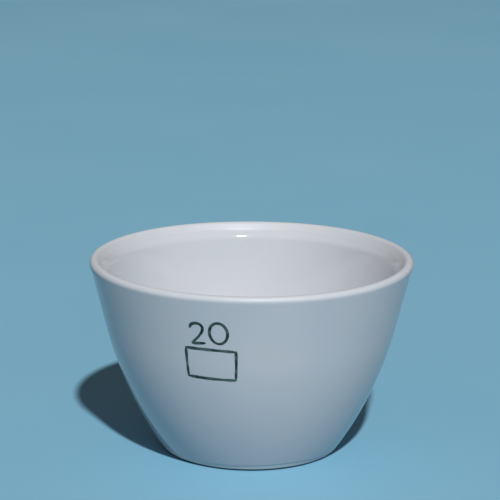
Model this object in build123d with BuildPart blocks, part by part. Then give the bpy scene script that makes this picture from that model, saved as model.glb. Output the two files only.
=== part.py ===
"""Low-form porcelain crucible: one thin glazed bowl, open at the top.

Millimetres, +Z up. The origin is the centre of the resting face, and Z is the axis of turning.
"""
from build123d import *
from math import cos, radians, sin, sqrt, tan
import os

# Outside: a straight taper from the lip to the knee, then one arc that carries on to the ground
rim_diameter = 45.0
height = 27.2
wall_slope = radians(14.0)
knee_height = 17.7
curve_radius = 56.0
foot_rounding = 0.4

# Thickness of the porcelain, which grows a little towards the floor
wall_thickness = 1.64
wall_at_floor = 2.1
floor_thickness = 2.0
floor_corner_radius = 5.0

# Underside: a ring to stand on, round a shallow recess
ring_width = 1.8
recess_depth = 0.45
recess_draft = radians(40.0)

# The lip is a full round, as thick as the wall and tangent to both faces of it
lip_radius = wall_thickness / 2
lip_centre = (rim_diameter / 2 - lip_radius, height - lip_radius)

# Both faces of the wall start beside the lip's centre, and run down side by side to the knee
across = (lip_radius * cos(wall_slope), -lip_radius * sin(wall_slope))
outer_lip = (lip_centre[0] + across[0], lip_centre[1] + across[1])
inner_lip = (lip_centre[0] - across[0], lip_centre[1] - across[1])
outer_knee = (outer_lip[0] - (outer_lip[1] - knee_height) * tan(wall_slope), knee_height)
inner_knee = (outer_knee[0] - 2 * across[0], outer_knee[1] - 2 * across[1])

# The curve's centre lies square to the taper at the knee, across the axis from this side of the section
curve_centre = (
    outer_knee[0] - curve_radius * cos(wall_slope),
    outer_knee[1] + curve_radius * sin(wall_slope),
)


def curve_reach(radius, z):
    """Distance from the axis, at height z, to an arc about the curve's centre."""
    return curve_centre[0] + sqrt(radius**2 - (curve_centre[1] - z) ** 2)


base_radius = curve_reach(curve_radius, 0)
ring_inner_radius = base_radius - ring_width
recess_radius = ring_inner_radius - recess_depth * tan(recess_draft)

# The inside meets the floor where the wall, square to its outside, has its full thickness
floor_height = recess_depth + floor_thickness
floor_radius = curve_reach(curve_radius - wall_at_floor, floor_height)

with BuildPart() as crucible:
    with BuildSketch(Plane.XZ) as section:
        with BuildLine():
            outer_wall = Line(outer_lip, outer_knee)
            TangentArc(outer_knee, (base_radius, 0), tangent=outer_wall % 1)
            Polyline(
                (base_radius, 0),
                (ring_inner_radius, 0),
                (recess_radius, recess_depth),
                (0, recess_depth),
                (0, floor_height),
                (floor_radius, floor_height),
            )
            inner_wall = Line(inner_knee, inner_lip)
            TangentArc(inner_knee, (floor_radius, floor_height), tangent=inner_wall % 0 * -1)
            TangentArc(inner_lip, outer_lip, tangent=inner_wall % 1)
        make_face()

        fillet(section.vertices().sort_by_distance((base_radius, 0))[0], foot_rounding)
        fillet(section.vertices().sort_by_distance((floor_radius, floor_height))[0], floor_corner_radius)
    revolve(axis=Axis.Z)

crucible.part.label = "crucible"
os.makedirs("parts", exist_ok=True)
export_step(crucible.part, "parts/crucible.step")
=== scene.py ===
from math import atan2, cos, pi, radians, sin, sqrt, tan

import bpy
import numpy as np
from mathutils import Matrix, Vector


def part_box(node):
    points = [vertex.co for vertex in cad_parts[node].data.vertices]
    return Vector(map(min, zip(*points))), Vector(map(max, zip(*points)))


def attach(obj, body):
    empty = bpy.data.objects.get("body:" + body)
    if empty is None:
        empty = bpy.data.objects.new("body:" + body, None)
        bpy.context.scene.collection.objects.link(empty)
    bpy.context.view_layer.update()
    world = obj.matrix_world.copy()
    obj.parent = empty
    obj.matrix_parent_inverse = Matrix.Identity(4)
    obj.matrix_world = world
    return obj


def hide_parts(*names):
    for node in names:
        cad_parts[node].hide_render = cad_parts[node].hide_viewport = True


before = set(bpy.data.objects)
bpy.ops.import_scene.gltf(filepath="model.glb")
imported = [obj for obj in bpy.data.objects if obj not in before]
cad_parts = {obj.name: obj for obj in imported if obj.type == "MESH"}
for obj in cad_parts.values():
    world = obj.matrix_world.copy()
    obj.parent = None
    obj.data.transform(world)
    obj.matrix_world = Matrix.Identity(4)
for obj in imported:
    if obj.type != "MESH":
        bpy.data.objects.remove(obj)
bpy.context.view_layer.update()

MM = 0.001

# The crucible's section. The rim and the height come from the frame, and the rest repeats the source, apart
# from the bevel inside the lip, the wall's thickness beside it and the slight gap under the foot's edge.
rim_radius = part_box("crucible")[1].x
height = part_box("crucible")[1].z
wall_slope = radians(14.0)
knee_height = 17.7 * MM
curve_radius = 56.0 * MM
foot_rounding = 0.3 * MM
foot_gap = 0.24 * MM
foot_set_back = 1.1 * MM
wall_thickness = 2.06 * MM
wall_at_floor = 2.1 * MM
floor_thickness = 2.0 * MM
floor_corner_radius = 5.0 * MM
ring_width = 1.8 * MM
recess_depth = 0.45 * MM
recess_draft = radians(40.0)
lip_rounding = 0.65 * MM
bevel_slope = radians(36.0)
bevel_ease = 2.0 * MM

# The bowl's mesh: steps round the axis, and the angle from which an edge stays sharp
turns = 360
sharp_angle = radians(35)

# What firing and handling leave on a real one
rim_oval = 0.05 * MM
rim_wave = 0.05 * MM
glaze_thickness = 0.06 * MM
glaze_edge_height = 0.95 * MM
glaze_edge_wave = 0.08 * MM
glaze_edge_softness = 0.02 * MM
glaze_relief = 0.012 * MM
lip_glaze_edge = 26.15 * MM
lip_glaze_wave = 0.08 * MM
lip_glaze_fade = 0.3 * MM

# The print on the wall: its place is an azimuth from the front, and a height
ink_stroke = 0.40 * MM
ink_unevenness = 0.12
print_radius = rim_radius * 0.95
number_azimuth = radians(-15.6)
number_height = 21.8 * MM
number_tilt = radians(4.0)
frame_azimuth = radians(-14.8)
frame_height = 17.3 * MM
frame_tilt = radians(-1.5)

# Across a stroke of print: the side, and how far it stands out of the wall
ink_section = [(-1, -0.03 * MM), (-1, 0.006 * MM), (0, 0.012 * MM), (1, 0.006 * MM), (1, -0.03 * MM)]

# Colours
porcelain_cool = (0.655, 0.690, 0.740, 1)
porcelain_warm = (0.685, 0.705, 0.740, 1)
speck_brown = (0.20, 0.17, 0.14, 1)
bare_dark = (0.76, 0.765, 0.77, 1)
bare_light = (0.83, 0.83, 0.83, 1)
ink_full = (0.004, 0.024, 0.018, 1)
ink_thin = (0.13, 0.21, 0.19, 1)
card_first = (0.24, 0.53, 0.71, 1)
card_second = (0.26, 0.55, 0.73, 1)
card_bounce = (0.13, 0.31, 0.44, 1)
background_blue = (0.17, 0.38, 0.51, 1)

# The photograph's view: the distance from the middle of the crucible, the lens and where it points
view_distance = 281.98 * MM
view_elevation = radians(16.496)
view_pitch = radians(13.649)
view_yaw = radians(-0.041)
view_roll = radians(0.414)
lens_mm = 144.0
sensor_mm = 36.0

# The light: one small key lamp above the camera and a little to its right, and an even fill
key_azimuth = radians(10)
key_elevation = radians(48)
key_distance = 6.0
key_size = 0.26
key_watts = 315
fill_strength = 0.09

# The card under the crucible
card_half = 3.0
card_drop = 0.01 * MM


def arc(centre, radius, start, end, count):
    """Points along an arc, both ends included."""
    return [along(centre, angle, radius) for angle in np.linspace(start, end, count)]


def along(point, angle, distance):
    """The point at a distance from another, in a direction of the section."""
    return point[0] + distance * cos(angle), point[1] + distance * sin(angle)


def line(start, end, count):
    """Points along a straight run, both ends included."""
    steps = np.linspace(0, 1, count)
    return [(start[0] + (end[0] - start[0]) * t, start[1] + (end[1] - start[1]) * t) for t in steps]


def reach(arc_centre, arc_radius, z):
    """Radius at which an arc of the section crosses a height."""
    return arc_centre[0] + sqrt(arc_radius**2 - (arc_centre[1] - z) ** 2)


def fillet_centre(arc_centre, arc_radius, ground, radius):
    """Centre of a rounding that touches a level line and the inside of an arc."""
    z = ground + radius
    return reach(arc_centre, arc_radius - radius, z), z


def lip_points():
    """The lip's centre and outer end, the bevel's top, and the start, end and centre of the ease under it."""
    centre = (rim_radius - lip_rounding, height - lip_rounding)
    outer_lip = along(centre, -wall_slope, lip_rounding)
    bevel_top = along(centre, pi - bevel_slope, lip_rounding)

    # The bevel crosses what the lip's rounding leaves of the wall's thickness
    turn = bevel_slope - wall_slope
    bevel_length = (wall_thickness - lip_rounding * (1 + cos(turn))) / sin(turn)
    bevel_foot = along(bevel_top, -pi / 2 - bevel_slope, bevel_length)
    cut = bevel_ease * tan(turn / 2)
    ease_start = along(bevel_foot, -pi / 2 - wall_slope, cut)
    ease_end = along(bevel_foot, pi / 2 - bevel_slope, cut)
    ease_centre = along(ease_start, -wall_slope, bevel_ease)
    return centre, outer_lip, bevel_top, ease_start, ease_end, ease_centre


def inner_curve(knee, corner):
    """Centre and radius of the arc that leaves the knee along the wall and meets the floor's corner."""
    run = (corner[0] - knee[0], corner[1] - knee[1])
    square = (-cos(wall_slope), sin(wall_slope))
    radius = (run[0] ** 2 + run[1] ** 2) / (2 * (run[0] * square[0] + run[1] * square[1]))
    return (knee[0] + square[0] * radius, knee[1] + square[1] * radius), radius


def section():
    """Radius and height from the middle of the floor up to the lip, down the outside and under the foot."""
    lip_centre, outer_lip, bevel_top, ease_start, ease_end, ease_centre = lip_points()
    outer_knee = (outer_lip[0] - (outer_lip[1] - knee_height) * tan(wall_slope), knee_height)
    inner_knee = along(outer_knee, pi - wall_slope, wall_thickness)
    curve_centre = along(outer_knee, pi - wall_slope, curve_radius)

    floor_height = recess_depth + floor_thickness
    ring_inner = reach(curve_centre, curve_radius, 0) - ring_width
    recess_radius = ring_inner - recess_depth * tan(recess_draft)
    corner = (reach(curve_centre, curve_radius - wall_at_floor, floor_height), floor_height)
    inner_centre, inner_radius = inner_curve(inner_knee, corner)

    cove = fillet_centre(inner_centre, inner_radius, floor_height, floor_corner_radius)
    cove_end = atan2(cove[1] - inner_centre[1], cove[0] - inner_centre[0])
    foot = fillet_centre(curve_centre, curve_radius, foot_gap, foot_rounding)
    foot_start = atan2(foot[1] - curve_centre[1], foot[0] - curve_centre[0])
    tread = foot[0] - foot_set_back

    # The rings lie closer together where the glaze ends
    band = 3 * glaze_edge_wave
    glaze_top = -np.arcsin((curve_centre[1] - glaze_edge_height - band) / curve_radius)
    glaze_low = -np.arcsin((curve_centre[1] - glaze_edge_height + band) / curve_radius)

    inside = [
        line((0, floor_height), (cove[0], floor_height), 16),
        arc(cove, floor_corner_radius, -pi / 2, cove_end, 16),
        arc(inner_centre, inner_radius, cove_end, -wall_slope, 36),
        line(inner_knee, ease_start, 24),
        arc(ease_centre, bevel_ease, pi - wall_slope, pi - bevel_slope, 9),
        line(ease_end, bevel_top, 8),
    ]
    lip = arc(lip_centre, lip_rounding, pi - bevel_slope, -wall_slope, 26)
    outside = [
        line(outer_lip, outer_knee, 26),
        arc(curve_centre, curve_radius, -wall_slope, glaze_top, 36),
        arc(curve_centre, curve_radius, glaze_top, glaze_low, 14),
        arc(curve_centre, curve_radius, glaze_low, foot_start, 4),
        arc(foot, foot_rounding, foot_start, -pi / 2, 8),
        line((foot[0], foot_gap), (tread, foot_gap / 2), 4),
        line((tread, foot_gap / 2), (tread - foot_gap / 2, 0), 3),
        line((tread - foot_gap / 2, 0), (ring_inner, 0), 3),
        line((ring_inner, 0), (recess_radius, recess_depth), 3),
        line((recess_radius, recess_depth), (0, recess_depth), 10),
    ]
    points = [inside[0][0]]
    for run in inside + [lip] + outside:
        points += run[1:]
    lip_index = sum(len(run) - 1 for run in inside) + len(lip) // 2
    return np.array(points), lip_index


profile, lip_index = section()
outer_wall = profile[lip_index:][profile[lip_index:, 1] > glaze_edge_height]


def hand_made(r, z, side, theta):
    """Moves a point of the turned section to where firing left it. Side is 1 outside and -1 inside."""
    rise = z / height
    oval = rim_oval * rise**2 * (np.cos(2 * theta + 0.9) + 0.5 * np.cos(3 * theta + 2.0))
    edge = glaze_edge_height + glaze_edge_wave * (
        0.6 * np.sin(3 * theta + 0.4) + 0.3 * np.sin(7 * theta) + 0.2 * np.sin(16 * theta + 1.3)
    )
    bare = (side > 0) / (1 + np.exp((z - edge) / glaze_edge_softness))
    step = -glaze_thickness * bare * (z > glaze_edge_softness)
    wave = rim_wave * rise**6 * (np.cos(2 * theta + 2.4) + 0.4 * np.cos(5 * theta))
    return r + oval + step, z + wave - rim_wave * rise**6, bare


def new_object(name, vertices, faces):
    """A smooth mesh object whose sharp edges stay sharp."""
    mesh = bpy.data.meshes.new(name)
    mesh.from_pydata(vertices, [], faces)
    mesh.update()
    mesh.shade_smooth()
    mesh.set_sharp_from_angle(angle=sharp_angle)
    obj = bpy.data.objects.new(name, mesh)
    bpy.context.scene.collection.objects.link(obj)
    return obj


def turned_faces(rings, last):
    """Faces between the rings, with a fan round the first point and one round the last."""
    faces = []
    for j in range(turns):
        k = (j + 1) % turns
        faces.append((0, 1 + j, 1 + k))
        for i in range(rings - 1):
            a = 1 + i * turns
            faces.append((a + j, a + turns + j, a + turns + k, a + k))
        a = 1 + (rings - 1) * turns
        faces.append((a + j, last, a + k))
    return faces


def turned_bowl():
    """The whole crucible, turned from its section, with a pole in the middle of the floor and underneath."""
    theta = np.linspace(0, 2 * pi, turns, endpoint=False)
    vertices = [(0, 0, profile[0][1])]
    bare_values = [0.0]
    for index, (r, z) in enumerate(profile[1:-1], start=1):
        side = 1 if index > lip_index else -1
        radius, level, bare = hand_made(r, z, side, theta)
        radius = np.where(r > ring_width, radius, r)
        vertices += zip(radius * np.sin(theta), -radius * np.cos(theta), level)
        bare_values += list(bare * np.ones(turns))
    vertices.append((0, 0, profile[-1][1]))
    bare_values.append(1.0)

    bowl = new_object("porcelain_bowl", vertices, turned_faces(len(profile) - 2, len(vertices) - 1))
    bowl.data.attributes.new("bare", "FLOAT", "POINT").data.foreach_set("value", bare_values)
    return bowl


def on_wall(azimuth, z, lift):
    """A point on the outside at an azimuth from the front, lifted square off the wall."""
    step = 0.1 * MM
    r = np.interp(-z, -outer_wall[:, 1], outer_wall[:, 0])
    below = np.interp(-z + step, -outer_wall[:, 1], outer_wall[:, 0])
    slope = atan2(r - below, step)
    radius, level, _ = hand_made(r, z, 1, azimuth)
    radius += lift * cos(slope)
    level -= lift * sin(slope)
    return radius * sin(azimuth), -radius * cos(azimuth), level


def curve_point(p, t):
    """The point at t on the Catmull-Rom span between the second and third of four points."""
    return 0.5 * (
        2 * p[1]
        + (p[2] - p[0]) * t
        + (2 * p[0] - 5 * p[1] + 4 * p[2] - p[3]) * t**2
        + (3 * p[1] - p[0] - 3 * p[2] + p[3]) * t**3
    )


def smooth_path(points, closed, step):
    """Even steps along a smooth curve through given points."""
    points = np.array(points, float)
    count = len(points)
    path = []
    for i in range(count if closed else count - 1):
        if closed:
            p = [points[(i + k) % count] for k in (-1, 0, 1, 2)]
        else:
            p = [points[min(max(i + k, 0), count - 1)] for k in (-1, 0, 1, 2)]
        path += [curve_point(p, t) for t in np.linspace(0, 1, 24, endpoint=False)]
    path.append(points[0] if closed else points[-1])
    path = np.array(path)
    lengths = np.concatenate([[0], np.cumsum(np.linalg.norm(np.diff(path, axis=0), axis=1))])
    even = np.linspace(0, lengths[-1], max(int(lengths[-1] / step), 2) + 1)
    return np.column_stack([np.interp(even, lengths, path[:, k]) for k in (0, 1)])


def stroke_faces(count, closed):
    """Faces of a band with the ink's section at each of its points, and both ends closed if it has any."""
    across = len(ink_section)
    faces = []
    for i in range(count if closed else count - 1):
        a, b = across * i, across * ((i + 1) % count)
        for k in range(across):
            faces.append((a + k, a + (k + 1) % across, b + (k + 1) % across, b + k))
    if not closed:
        faces.append(tuple(reversed(range(across))))
        faces.append(tuple(across * (count - 1) + k for k in range(across)))
    return faces


def stroke(name, path, azimuth, z, turn, closed):
    """One printed stroke: a thin raised band along the path, which wraps the wall."""
    rng = np.random.default_rng(len(path))
    gap = np.gradient(path, axis=0)
    if closed:
        path = path[:-1]
        gap = np.roll(path, -1, axis=0) - np.roll(path, 1, axis=0)
    normal = np.column_stack([-gap[:, 1], gap[:, 0]])
    normal /= np.linalg.norm(normal, axis=1)[:, None]

    # The stroke's width wavers along it, and an open one narrows at both ends
    count = len(path)
    knots = max(count // 6, 3)
    waver = rng.normal(1, ink_unevenness, knots)
    half = ink_stroke / 2 * np.interp(np.arange(count), np.linspace(0, count - 1, knots), waver)
    if not closed:
        ends = np.minimum(np.arange(count), np.arange(count)[::-1]) / 3
        half = half * np.clip(0.45 + 0.55 * ends, 0, 1)

    tilt = np.array([[cos(turn), -sin(turn)], [sin(turn), cos(turn)]])
    vertices = []
    for i in range(count):
        for side, lift in ink_section:
            x, y = tilt @ (path[i] + normal[i] * half[i] * side)
            vertices.append(on_wall(azimuth + x / print_radius, z + y, lift))
    return new_object(name, vertices, stroke_faces(count, closed))


def printed_number():
    """The number 20, in strokes as a stamp leaves them, with its points in millimetres."""
    two = [(-2.25, 0.75), (-1.95, 1.3), (-1.25, 1.5), (-0.6, 1.2), (-0.5, 0.55), (-1.1, -0.35), (-2.3, -1.4)]
    foot_of_two = [(-2.3, -1.4), (-1.3, -1.42), (-0.3, -1.38)]
    zero = [(1.2 * cos(a) + 1.6, 1.5 * sin(a)) for a in np.linspace(0, 2 * pi, 12, endpoint=False)]
    pieces = []
    for name, points in (("two", two), ("two_foot", foot_of_two), ("zero", zero)):
        closed = points is zero
        path = smooth_path(np.array(points) * MM, closed, 0.12 * MM)
        pieces.append(stroke("print_" + name, path, number_azimuth, number_height, number_tilt, closed))
    return pieces


def printed_frame():
    """A plain frame under the number, of four strokes in millimetres that cross a little at the corners."""
    wide, high, over = 3.5, 2.1, 0.15
    sides = {
        "top": [(-wide - over, high), (0, high + 0.05), (wide, high)],
        "bottom": [(-wide, -high), (0, -high - 0.04), (wide + over, -high)],
        "left": [(-wide, high), (-wide - 0.04, 0), (-wide, -high - over)],
        "right": [(wide, high + over), (wide + 0.05, 0), (wide, -high)],
    }
    pieces = []
    for name, points in sides.items():
        path = smooth_path(np.array(points) * MM, False, 0.15 * MM)
        pieces.append(stroke("print_frame_" + name, path, frame_azimuth, frame_height, frame_tilt, False))
    return pieces


def new_material(name):
    """A node material, its tree and its main shader."""
    material = bpy.data.materials.new(name)
    material.use_nodes = True
    tree = material.node_tree
    return material, tree, tree.nodes["Principled BSDF"]


def noise(tree, scale, detail=2.0, roughness=0.5):
    """Noise over the object's own coordinates. Scale is in features a metre."""
    place = tree.nodes.new("ShaderNodeTexCoord")
    node = tree.nodes.new("ShaderNodeTexNoise")
    node.inputs["Scale"].default_value = scale
    node.inputs["Detail"].default_value = detail
    node.inputs["Roughness"].default_value = roughness
    tree.links.new(place.outputs["Object"], node.inputs["Vector"])
    return node.outputs["Fac"]


def remap(tree, value, low, high, to_low, to_high, smooth=False):
    """The value's range low to high becomes to_low to to_high."""
    node = tree.nodes.new("ShaderNodeMapRange")
    if smooth:
        node.interpolation_type = "SMOOTHSTEP"
    node.inputs["From Min"].default_value = low
    node.inputs["From Max"].default_value = high
    node.inputs["To Min"].default_value = to_low
    node.inputs["To Max"].default_value = to_high
    tree.links.new(value, node.inputs["Value"])
    return node.outputs["Result"]


def blend(tree, share, first, second):
    """Mixes two colours, or two colour outputs, by a share from 0 to 1."""
    node = tree.nodes.new("ShaderNodeMix")
    node.data_type = "RGBA"
    for value, socket in ((first, node.inputs["A"]), (second, node.inputs["B"])):
        if isinstance(value, tuple):
            socket.default_value = value
        else:
            tree.links.new(value, socket)
    tree.links.new(share, node.inputs["Factor"])
    return node.outputs["Result"]


def mix_values(tree, share, first, second):
    """Mixes two number outputs by a share from 0 to 1."""
    node = tree.nodes.new("ShaderNodeMix")
    tree.links.new(first, node.inputs["A"])
    tree.links.new(second, node.inputs["B"])
    tree.links.new(share, node.inputs["Factor"])
    return node.outputs["Result"]


def calculate(tree, operation, first, second):
    """One step of arithmetic on a number output and a number or another output."""
    node = tree.nodes.new("ShaderNodeMath")
    node.operation = operation
    tree.links.new(first, node.inputs[0])
    if isinstance(second, float):
        node.inputs[1].default_value = second
    else:
        tree.links.new(second, node.inputs[1])
    return node.outputs[0]


def bump(tree, relief):
    """The normal of a relief whose height is in metres."""
    node = tree.nodes.new("ShaderNodeBump")
    node.inputs["Strength"].default_value = 1.0
    node.inputs["Distance"].default_value = 1.0
    tree.links.new(relief, node.inputs["Height"])
    return node.outputs["Normal"]


def specks(tree):
    """Where the few dark specks are that firing leaves, as a share from 0 to 1."""
    place = tree.nodes.new("ShaderNodeTexCoord")
    cells = tree.nodes.new("ShaderNodeTexVoronoi")
    cells.inputs["Scale"].default_value = 420
    tree.links.new(place.outputs["Object"], cells.inputs["Vector"])
    split = tree.nodes.new("ShaderNodeSeparateColor")
    tree.links.new(cells.outputs["Color"], split.inputs["Color"])
    chosen = remap(tree, split.outputs["Red"], 0.72, 0.95, 0.0, 0.7)
    dot = remap(tree, cells.outputs["Distance"], 0.02, 0.045, 1.0, 0.0, True)
    return calculate(tree, "MULTIPLY", chosen, dot)


def bare_share(tree):
    """Where there is no glaze, with a ragged edge, as a share from 0 to 1."""
    share = tree.nodes.new("ShaderNodeAttribute")
    share.attribute_name = "bare"
    ragged = remap(tree, noise(tree, 1800, 3), 0.3, 0.7, -0.25, 0.25)
    return remap(tree, calculate(tree, "ADD", share.outputs["Fac"], ragged), 0.35, 0.65, 0.0, 1.0, True)


def wiped_share(tree):
    """Where the glaze was wiped thin on the lip, as a share from 0 to 1."""
    place = tree.nodes.new("ShaderNodeTexCoord")
    split = tree.nodes.new("ShaderNodeSeparateXYZ")
    tree.links.new(place.outputs["Object"], split.inputs["Vector"])
    uneven = remap(tree, noise(tree, 350, 2), 0.3, 0.7, -lip_glaze_wave, lip_glaze_wave)
    level = calculate(tree, "ADD", split.outputs["Z"], uneven)
    start, end = lip_glaze_edge - lip_glaze_fade, lip_glaze_edge + lip_glaze_fade
    return remap(tree, level, start, end, 0.0, 1.0, True)


def porcelain():
    """Clear gloss glaze over white porcelain, wiped thin on the lip and left off the foot and underneath."""
    material, tree, shader = new_material("porcelain_glaze")
    bare = bare_share(tree)

    cloud = remap(tree, noise(tree, 90, 3), 0.35, 0.65, 0.0, 1.0)
    glazed = blend(tree, specks(tree), blend(tree, cloud, porcelain_cool, porcelain_warm), speck_brown)
    grain = remap(tree, noise(tree, 4500, 4, 0.7), 0.3, 0.7, 0.0, 1.0)
    dry = blend(tree, grain, bare_dark, bare_light)
    tree.links.new(blend(tree, bare, glazed, dry), shader.inputs["Base Color"])

    gloss = remap(tree, noise(tree, 260, 3), 0.3, 0.7, 0.05, 0.10)
    satin = remap(tree, grain, 0.0, 1.0, 0.42, 0.52)
    matt = remap(tree, grain, 0.0, 1.0, 0.66, 0.80)
    rough = mix_values(tree, bare, mix_values(tree, wiped_share(tree), gloss, satin), matt)
    tree.links.new(rough, shader.inputs["Roughness"])

    relief = calculate(tree, "MULTIPLY", noise(tree, 330, 2), glaze_relief)
    tree.links.new(bump(tree, relief), shader.inputs["Normal"])

    shader.inputs["IOR"].default_value = 1.5
    shader.inputs["Subsurface Weight"].default_value = 0.12
    shader.inputs["Subsurface Radius"].default_value = (1.0, 0.85, 0.7)
    shader.inputs["Subsurface Scale"].default_value = 0.8 * MM
    return material


def ink():
    """Dark green print, thin in places."""
    material, tree, shader = new_material("green_print")
    patchy = remap(tree, noise(tree, 1000, 3), 0.40, 0.66, 0.0, 0.7)
    tree.links.new(blend(tree, patchy, ink_full, ink_thin), shader.inputs["Base Color"])
    tree.links.new(remap(tree, noise(tree, 260, 3), 0.3, 0.7, 0.06, 0.12), shader.inputs["Roughness"])
    shader.inputs["IOR"].default_value = 1.5
    return material


def card():
    """Smooth pale blue card, which sends a deeper blue light back on to the crucible."""
    material, tree, shader = new_material("pale_card")
    tone = remap(tree, noise(tree, 14, 2), 0.3, 0.7, 0.0, 1.0)
    seen = blend(tree, tone, card_first, card_second)
    ray = tree.nodes.new("ShaderNodeLightPath")
    colour = blend(tree, ray.outputs["Is Diffuse Ray"], seen, card_bounce)
    tree.links.new(colour, shader.inputs["Base Color"])
    shader.inputs["Roughness"].default_value = 0.6
    return material


def cover(obj, material):
    """Gives the whole object one material."""
    obj.data.materials.clear()
    obj.data.materials.append(material)


def add_camera():
    """The photograph's viewpoint, aimed a little to one side of the crucible and rolled as it is there."""
    flat = cos(view_pitch)
    forward = Vector((sin(view_yaw) * flat, cos(view_yaw) * flat, -sin(view_pitch)))
    level = forward.cross(Vector((0, 0, 1))).normalized()
    up = level.cross(forward)
    right = level * cos(view_roll) + up * sin(view_roll)
    top = up * cos(view_roll) - level * sin(view_roll)
    back = view_distance * cos(view_elevation)
    place = Vector((0, -back, height / 2 + view_distance * sin(view_elevation)))

    data = bpy.data.cameras.new("camera")
    data.lens = lens_mm
    data.sensor_width = sensor_mm
    data.clip_start = 0.01
    camera = bpy.data.objects.new("camera", data)
    turned = Matrix((right, top, -forward)).transposed().to_4x4()
    camera.matrix_world = Matrix.Translation(place) @ turned
    bpy.context.scene.collection.objects.link(camera)
    bpy.context.scene.camera = camera


def add_key_lamp():
    """A round lamp aimed at the middle of the crucible. Its azimuth is from the front towards +X."""
    data = bpy.data.lights.new("key", "AREA")
    data.shape = "ELLIPSE"
    data.size = key_size
    data.size_y = key_size
    data.energy = key_watts
    lamp = bpy.data.objects.new("key", data)
    flat = cos(key_elevation)
    away = Vector((sin(key_azimuth) * flat, -cos(key_azimuth) * flat, sin(key_elevation)))
    lamp.location = Vector((0, 0, height / 2)) + away * key_distance
    lamp.rotation_euler = away.to_track_quat("Z", "Y").to_euler()
    bpy.context.scene.collection.objects.link(lamp)


def add_world():
    """Even fill from all round, and the card's colour where the camera sees the background."""
    world = bpy.data.worlds.new("studio")
    bpy.context.scene.world = world
    world.use_nodes = True
    tree = world.node_tree
    fill = tree.nodes["Background"]
    fill.inputs["Color"].default_value = (1, 1, 1, 1)
    fill.inputs["Strength"].default_value = fill_strength
    seen = tree.nodes.new("ShaderNodeBackground")
    seen.inputs["Color"].default_value = background_blue
    ray = tree.nodes.new("ShaderNodeLightPath")
    mix = tree.nodes.new("ShaderNodeMixShader")
    tree.links.new(ray.outputs["Is Camera Ray"], mix.inputs["Fac"])
    tree.links.new(fill.outputs[0], mix.inputs[1])
    tree.links.new(seen.outputs[0], mix.inputs[2])
    tree.links.new(mix.outputs[0], tree.nodes["World Output"].inputs["Surface"])


def add_floor():
    """A large level sheet just under the crucible."""
    corners = [(x * card_half, y * card_half, -card_drop) for x, y in ((-1, -1), (1, -1), (1, 1), (-1, 1))]
    obj = new_object("floor", corners, [(0, 1, 2, 3)])
    cover(obj, card())


bowl = turned_bowl()
cover(bowl, porcelain())
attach(bowl, "root")
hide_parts("crucible")

ink_material = ink()
for piece in printed_number() + printed_frame():
    cover(piece, ink_material)
    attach(piece, "root")

add_camera()
add_key_lamp()
add_world()
add_floor()

bpy.context.scene.view_settings.view_transform = "Standard"
